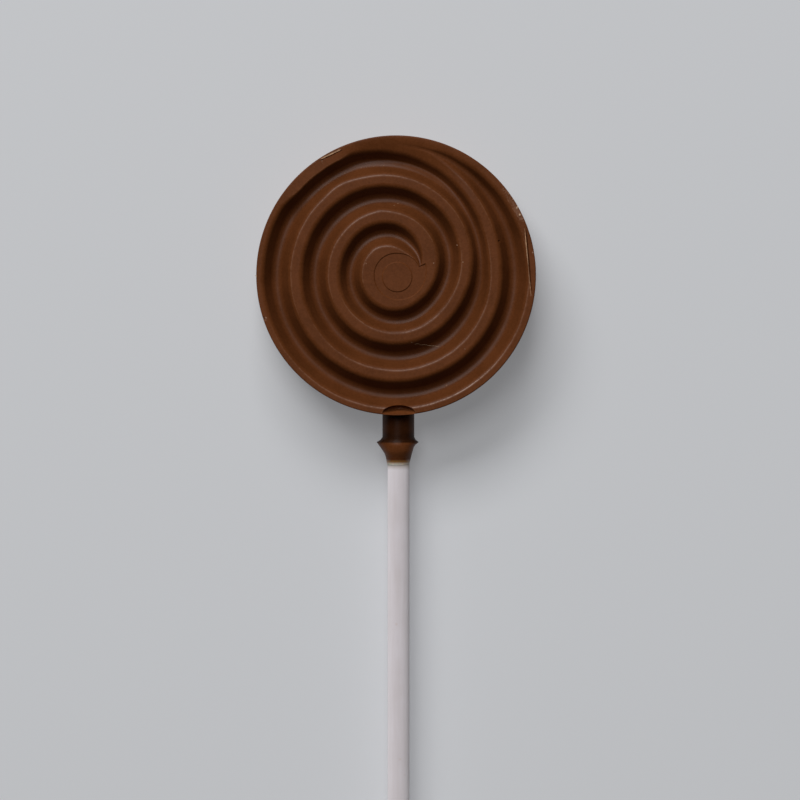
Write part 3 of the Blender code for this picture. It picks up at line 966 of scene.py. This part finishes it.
def make_chip(name, angle, distance, half_sizes, turned, roughness, wear_and_highlight, material):
    """A rough lump to be broken out of the edge, paler and glossier most where its inner side meets the
    face: scraped wear, and in part a painted highlight.
    """
    shell = bmesh.new()
    bmesh.ops.create_icosphere(shell, subdivisions=CHIP_SUBDIVISIONS, radius=1.0)
    offset = Vector((angle, *CHIP_SEED))
    for vertex in shell.verts:
        lump = noise.noise(vertex.co * CHIP_LUMP_SCALE + offset)
        fine = noise.noise(vertex.co * CHIP_GRAIN_SCALE + offset)
        vertex.co *= 1.0 + roughness * (lump + 0.5 * fine)
    mesh = bpy.data.meshes.new(name)
    shell.to_mesh(mesh)
    shell.free()
    mesh.transform(Matrix.Diagonal((*(size * MM for size in half_sizes), 1.0)))
    mark(mesh, "wear_and_highlight", lambda place: 1.0 if abs(place.z) < CHIP_RIM and place.y < 0.0 else wear_and_highlight)
    mesh.transform(Matrix.Rotation(math.radians(turned - angle), 4, "Z"))
    mesh.transform(Matrix.Translation(on_face(angle, distance * MM, DISC_THICKNESS)))
    mesh.materials.append(material)
    return facing_out(mesh)


def make_chocolate(chocolate, broken):
    disc = make_disc(chocolate)
    ridge_tree = make_ridge_tree()
    for name, tree, shift in (
        ("groove", make_groove_tree(ridge_tree), SPIRAL_SHIFT_X),
        ("ramp", make_ramp_tree(ridge_tree), SPIRAL_SHIFT_X),
        ("pocket", make_pocket_tree(), 0.0),
    ):
        mesh = tree_mesh(name, tree, Material=chocolate)
        mesh.transform(Matrix.Translation((shift, 0.0, DISC_THICKNESS)))
        carve(disc, name, facing_out(mesh))
    carve(disc, "scoop", make_scoop(chocolate))
    carve(disc, "neck", make_neck(chocolate), "UNION")
    bore_end = -STICK_HIGH.y - BORE_END_ROOM
    collar_end = NECK_PROFILE[-1][0] + CUT_MARGIN
    carve(disc, "bore", make_bore("bore", BORE_RADIUS, bore_end, collar_end, chocolate))
    for name, chip in CHIPS.items():
        carve(disc, name, make_chip(name, *chip, broken if name in LIGHT_BREAKS else chocolate))
    shade(disc, DISC_SHARP_ANGLE)
    crease_flats(disc)
    return disc


def shade(obj, sharp_angle):
    """Shades the object smoothly, but for edges that turn by more than this angle in degrees."""
    obj.data.polygons.foreach_set("use_smooth", [True] * len(obj.data.polygons))
    obj.data.set_sharp_from_angle(angle=math.radians(sharp_angle))


def crease_flats(obj):
    """Keeps level faces evenly shaded: their borders are sharp, however gently the surface turns there."""
    shell = bmesh.new()
    shell.from_mesh(obj.data)
    level = {face for face in shell.faces if abs(face.normal.z) > LEVEL_NORMAL_Z}
    for edge in shell.edges:
        sides = [face in level for face in edge.link_faces]
        if any(sides) and not all(sides):
            edge.smooth = False
    shell.to_mesh(obj.data)
    shell.free()


# ======== The stick ========

def make_stick(paper):
    stick = new_object("roll", tree_mesh("roll", make_roll_tree(), Material=paper))
    thicken = stick.modifiers.new("Thickness", "SOLIDIFY")
    thicken.thickness = PAPER_THICKNESS
    thicken.offset = -1.0
    solid = take_mesh(stick)
    solid.transform(Matrix.Translation((STICK_AXIS_X, STICK_LOW.y, STICK_AXIS_Z)))
    piece = new_object("paper_stick", solid)
    shade(piece, PAPER_SHARP_ANGLE)
    return piece


def make_lip(fat):
    """The thin uneven lip of cocoa butter where the collar ends on the stick."""
    profile = [(0.0, LIP_START)]
    for i in range(LIP_ROWS + 1):
        t = i / LIP_ROWS
        radius = STICK_RADIUS + LIP_END_THICKNESS + (LIP_RADIUS - STICK_RADIUS) * (1.0 - t) ** LIP_TAPER
        profile.append((radius, LIP_START + LIP_LENGTH * t))
    profile.append((0.0, LIP_START + LIP_LENGTH))
    mesh = turned_mesh("lip", profile, TURNED_SEGMENTS, fat)
    for vertex in mesh.vertices:
        reach = (vertex.co.z - LIP_START) / LIP_LENGTH
        turn = math.atan2(vertex.co.y, vertex.co.x)
        uneven = noise.noise(Vector((math.cos(turn), math.sin(turn), 0.3)) * LIP_WAVE_SCALE)
        vertex.co.z += LIP_UNEVEN * uneven * reach
    piece = new_object("butter_lip", along_stick(mesh))
    near = LIP_START - CUT_MARGIN
    far = LIP_START + LIP_LENGTH + 2 * CUT_MARGIN
    carve(piece, "lip_bore", make_bore("lip_bore", LIP_BORE_RADIUS, near, far, fat))
    shade(piece, LIP_SHARP_ANGLE)
    return piece


def make_crumbs(name, spots, disc, material, seed):
    """Crumbs lying on the disc at (x, y, size) spots, each sunk in by a share of its size."""
    places = []
    for x, y, size in spots:
        place = on_surface(disc, x, y)
        if place:
            places.append((place - Vector((0.0, 0.0, CRUMB_SINK * size * MM)), size * MM))
    points = bpy.data.meshes.new(name)
    points.from_pydata([place for place, _ in places], [], [])
    sizes = points.attributes.new("size", "FLOAT", "POINT")
    sizes.data.foreach_set("value", [size for _, size in places])
    piece = new_object(name, tree_mesh(name, make_crumb_tree(), points, Material=material, Seed=seed))
    shade(piece, CRUMB_SHARP_ANGLE)
    return piece


def on_surface(disc, x, y):
    """The point of the disc's upper surface at x and y in millimetres, or None beside the disc."""
    above = Vector((x * MM, y * MM, 2 * DISC_THICKNESS))
    hit, place, _, _ = disc.ray_cast(above, Vector((0.0, 0.0, -1.0)))
    return place if hit else None


def make_scratch(disc, material):
    """A fine raised line of crushed chocolate in the groove."""
    curve = bpy.data.curves.new("scratch", "CURVE")
    curve.dimensions = "3D"
    curve.bevel_depth = SCRATCH_RADIUS
    curve.bevel_resolution = 1
    curve.use_fill_caps = True
    line = curve.splines.new("NURBS")
    line.points.add(len(SCRATCH) - 1)
    for point, (x, y) in zip(line.points, SCRATCH):
        point.co = (*on_surface(disc, x, y), 1.0)
    line.use_endpoint_u = True
    mesh = take_mesh(new_object("scratch", curve))
    mesh.materials.clear()
    mesh.materials.append(material)
    piece = new_object("pale_scratch", facing_out(mesh, SCRATCH_RADIUS / 100))
    shade(piece, SCRATCH_SHARP_ANGLE)
    return piece


# ======== Materials ========

class Finish(Tree):
    """The nodes of one material, with the calls of a tree and the outputs of its fine grain."""

    def __init__(self, name, grain_tree, scales):
        self.material = bpy.data.materials.new(name)
        self.material.use_nodes = True
        self.tree = self.material.node_tree
        self.nodes = self.tree.nodes
        self.shader = self.nodes["Principled BSDF"]
        grain = self.nodes.new("ShaderNodeGroup")
        grain.node_tree = grain_tree
        for socket, value in zip(grain.inputs, scales):
            socket.default_value = value
        self.mottle, self.specks, self.height = (
            grain.outputs[name] for name in ("Mottle", "Specks", "Height")
        )

    def set(self, **values):
        """Feeds the shader's sockets; a name's spaces are written as _."""
        for name, value in values.items():
            feed(self.tree, self.shader.inputs[name.replace("_", " ")], value)

    def attribute(self, name):
        return self.add("ShaderNodeAttribute", attribute_name=name, output=2)

    def blend(self, share, before, after):
        return self.add("ShaderNodeMix", share, before, after, data_type="RGBA")

    def surface(self, colour, roughness, bump, height=None):
        """Sets the colour and the roughness, and a bump of (distance, strength) from the grain's height."""
        self.set(Base_Color=colour, Roughness=roughness)
        distance, strength = bump
        node = self.nodes.new("ShaderNodeBump")
        node.inputs["Strength"].default_value = strength
        node.inputs["Distance"].default_value = distance
        self.tree.links.new(height or self.height, node.inputs["Height"])
        self.tree.links.new(node.outputs["Normal"], self.shader.inputs["Normal"])


def make_grain_tree():
    """Fine grain: soft mottling, a mask of small specks, and a height for bumps."""
    tree = Tree("Fine grain", "ShaderNodeTree")
    names = ("Mottle Scale", "Grain Scale", "Speck Scale", "Speck Size")
    mottle_scale, grain_scale, speck_scale, speck_size = (tree.takes(name) for name in names)
    place = tree.add("ShaderNodeTexCoord", output=3)
    tree.gives("Mottle", tree.add("ShaderNodeTexNoise", place, mottle_scale, 4.0, 0.6))
    cells = tree.add("ShaderNodeTexVoronoi", place, speck_scale)
    tree.gives("Specks", tree.from_to(cells, 0.0, speck_size, 1.0, 0.0))
    tree.gives("Height", tree.add("ShaderNodeTexNoise", place, grain_scale, 3.0, 0.65))
    return tree.tree


def make_chocolate_material(grain_tree):
    """Satin chocolate: mottled, with painted shade where "dark" says, paler and shinier with wear and
    painted highlights along edges, and shinier where "gloss" says.
    """
    finish = Finish("milk_chocolate", grain_tree, CHOCOLATE_GRAIN)
    grainy = finish.times(finish.plus(finish.mottle, finish.height), 0.5)
    patches = finish.from_to(grainy, *CHOCOLATE_PATCHES, 0.0, 1.0)
    colour = finish.blend(patches, CHOCOLATE_DARK, CHOCOLATE_LIGHT)
    colour = finish.blend(finish.times(finish.specks, SPECKS_SHOW), colour, CHOCOLATE_WORN_AND_HIGHLIGHT)
    # Painted shade: near-black where "dark" says, on the neck and in the grooves
    colour = finish.blend(finish.attribute("dark"), colour, PAINTED_SHADE_COLOUR)
    # Paler and glossier along edges: painted highlights where they face the light, and wear on the chips
    wear_and_highlight = finish.times(finish.attribute("wear_and_highlight"), finish.from_to(grainy, *WEAR_AND_HIGHLIGHT_PATCHES, LEAST_WEAR_AND_HIGHLIGHT, 1.0))
    colour = finish.blend(finish.times(wear_and_highlight, WEAR_AND_HIGHLIGHT_SHOWS), colour, CHOCOLATE_WORN_AND_HIGHLIGHT)
    finish.set(Specular_IOR_Level=0.11, IOR=1.45, Coat_Roughness=0.42)
    glossy = finish.times(finish.attribute("gloss"), GLOSS_COAT)
    finish.set(Coat_Weight=finish.larger(finish.times(wear_and_highlight, WEAR_AND_HIGHLIGHT_COAT), glossy))
    roughness = finish.from_to(finish.height, *NARROW_RANGE, *CHOCOLATE_ROUGHNESS)
    finish.surface(colour, roughness, CHOCOLATE_BUMP)
    return finish.material


def make_break_material(grain_tree):
    """Freshly broken chocolate: paler, rough and crystalline."""
    finish = Finish("broken_chocolate", grain_tree, BREAK_GRAIN)
    patches = finish.from_to(finish.mottle, *BREAK_PATCHES, 0.0, 1.0)
    colour = finish.blend(patches, BREAK_DARK, BREAK_LIGHT)
    roughness = finish.from_to(finish.mottle, *MIDDLE_RANGE, *BREAK_ROUGHNESS)
    finish.surface(finish.blend(finish.specks, colour, BREAK_LIGHT), roughness, BREAK_BUMP)
    return finish.material


def make_crumb_material(name, grain_tree, dark, light, roughness):
    """Crushed chocolate, paler than the disc."""
    finish = Finish(name, grain_tree, CRUMB_GRAIN)
    rough = finish.from_to(finish.mottle, *MIDDLE_RANGE, *roughness)
    finish.surface(finish.blend(finish.mottle, dark, light), rough, CRUMB_BUMP)
    return finish.material


def place_along(finish):
    """The distance along Y, the length of the stick."""
    return finish.parts(finish.add("ShaderNodeTexCoord", output=3))[1]


def make_butter_material(grain_tree):
    """Cocoa butter: chocolate brown at the collar, then amber, and pale where it thins out."""
    finish = Finish("cocoa_butter", grain_tree, BUTTER_GRAIN)
    along = place_along(finish)
    amber = finish.smooth(along, *LIP_TURNS_AMBER, 0.0, 1.0)
    pale = finish.smooth(along, *LIP_TURNS_PALE, 0.0, 1.0)
    patches = finish.from_to(finish.mottle, *NARROW_RANGE, *BUTTER_PATCHES)
    colour = finish.blend(finish.times(amber, patches), CHOCOLATE_DARK, BUTTER)
    roughness = finish.from_to(finish.mottle, *MIDDLE_RANGE, *BUTTER_ROUGHNESS)
    finish.surface(finish.blend(pale, colour, BUTTER_PALE), roughness, BUTTER_BUMP)
    finish.set(Subsurface_Weight=0.3, Subsurface_Scale=0.5 * MM)
    return finish.material


def make_paper_material(grain_tree):
    """Matt white paper with fibres along the stick, a few brownish specks, and a painted brownish shadow at
    the end under the collar.
    """
    finish = Finish("rolled_paper", grain_tree, PAPER_GRAIN)
    place = finish.add("ShaderNodeTexCoord", output=3)
    stretched = finish.add("ShaderNodeVectorMath", place, FIBRE_STRETCH, operation="MULTIPLY")
    fibres = finish.add("ShaderNodeTexNoise", stretched, FIBRE_SCALE, 4.0, 0.6)
    share = finish.times(finish.plus(fibres, finish.mottle), 0.5)
    colour = finish.blend(finish.from_to(share, *NARROW_RANGE, 0.0, 1.0), PAPER_DARK, PAPER_LIGHT)
    colour = finish.blend(finish.times(finish.specks, PAPER_SPECKS_SHOW), colour, BREAK_LIGHT)
    # Painted shadow: the stick darkens towards the collar
    painted_shadow = finish.smooth(place_along(finish), *PAPER_SHADOW_REACH, 0.0, PAPER_SHADOW_SHOWS)
    colour = finish.blend(painted_shadow, colour, PAPER_SHADOW_COLOUR)
    roughness = finish.from_to(fibres, *MIDDLE_RANGE, *PAPER_ROUGHNESS)
    height = finish.plus(fibres, finish.times(finish.height, 0.5))
    finish.surface(colour, roughness, PAPER_BUMP, height)
    finish.set(Diffuse_Roughness=0.8)
    return finish.material


def make_floor_material(grain_tree):
    """A plain pale floor with a slight glow, so that it stays pale in soft light."""
    finish = Finish("floor", grain_tree, FLOOR_GRAIN)
    roughness = finish.from_to(finish.mottle, 0.0, 1.0, *FLOOR_ROUGHNESS)
    finish.set(Base_Color=finish.blend(finish.mottle, FLOOR_DARK, FLOOR), Roughness=roughness)
    finish.set(Emission_Color=FLOOR, Emission_Strength=FLOOR_GLOW)
    return finish.material


# ======== Stage ========

def make_floor(material):
    size = FLOOR_HALF_SIZE
    corners = [(-size, -size, 0.0), (size, -size, 0.0), (size, size, 0.0), (-size, size, 0.0)]
    mesh = bpy.data.meshes.new("floor")
    mesh.from_pydata(corners, [], [(0, 1, 2, 3)])
    mesh.materials.append(material)
    new_object("floor", mesh)


def make_camera():
    camera = bpy.data.cameras.new("camera")
    camera.sensor_width = SENSOR_WIDTH
    camera.lens = SENSOR_WIDTH * CAMERA_DISTANCE / IMAGE_WIDTH
    camera.clip_start = CLIP_START
    obj = new_object("camera", camera)
    obj.location = (CAMERA_X, CAMERA_Y, DISC_THICKNESS + CAMERA_DISTANCE)
    bpy.context.scene.camera = obj


def make_light(name, azimuth, elevation, width, height, brightness):
    """A soft box aimed at the disc; azimuth is clockwise from the photo's up.

    The brightness is that of a white matt surface that faces the light.
    """
    light = bpy.data.lights.new(name, "AREA")
    light.shape = "RECTANGLE"
    light.size = width
    light.size_y = height
    light.energy = brightness * (math.pi * LIGHT_DISTANCE) ** 2
    obj = new_object(name, light)
    level = math.cos(math.radians(elevation))
    towards = on_face(azimuth, level, math.sin(math.radians(elevation)))
    obj.location = towards * LIGHT_DISTANCE
    obj.rotation_euler = towards.to_track_quat("Z", "Y").to_euler()


def make_world():
    world = bpy.data.worlds.new("studio")
    world.use_nodes = True
    background = world.node_tree.nodes["Background"]
    background.inputs["Color"].default_value = (1.0, 1.0, 1.0, 1.0)
    background.inputs["Strength"].default_value = WORLD_BRIGHTNESS
    bpy.context.scene.world = world


def main():
    bpy.context.scene.view_settings.view_transform = "Standard"
    grain_tree = make_grain_tree()
    chocolate = make_chocolate_material(grain_tree)
    disc = make_chocolate(chocolate, make_break_material(grain_tree))
    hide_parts("chocolate")
    stick = make_stick(make_paper_material(grain_tree))
    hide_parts("stick")
    lip = make_lip(make_butter_material(grain_tree))
    crushed = make_crumb_material("pale_crumb", grain_tree, BREAK_LIGHT, CRUMB_LIGHT, PALE_CRUMB_ROUGHNESS)
    pale = make_crumbs("pale_crumbs", PALE_CRUMBS, disc, crushed, PALE_CRUMB_SEED)
    specks = make_crumb_material(
        "chocolate_specks", grain_tree, CHOCOLATE_WORN_AND_HIGHLIGHT, BREAK_DARK, LIGHT_CRUMB_ROUGHNESS
    )
    light = make_crumbs("chocolate_crumbs", LIGHT_CRUMBS, disc, specks, LIGHT_CRUMB_SEED)
    scratch = make_scratch(disc, crushed)
    for piece in (disc, stick, lip, pale, light, scratch):
        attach(piece, "root")
    make_floor(make_floor_material(grain_tree))
    make_camera()
    make_world()
    for name, values in LIGHTS.items():
        make_light(name, *values)


main()
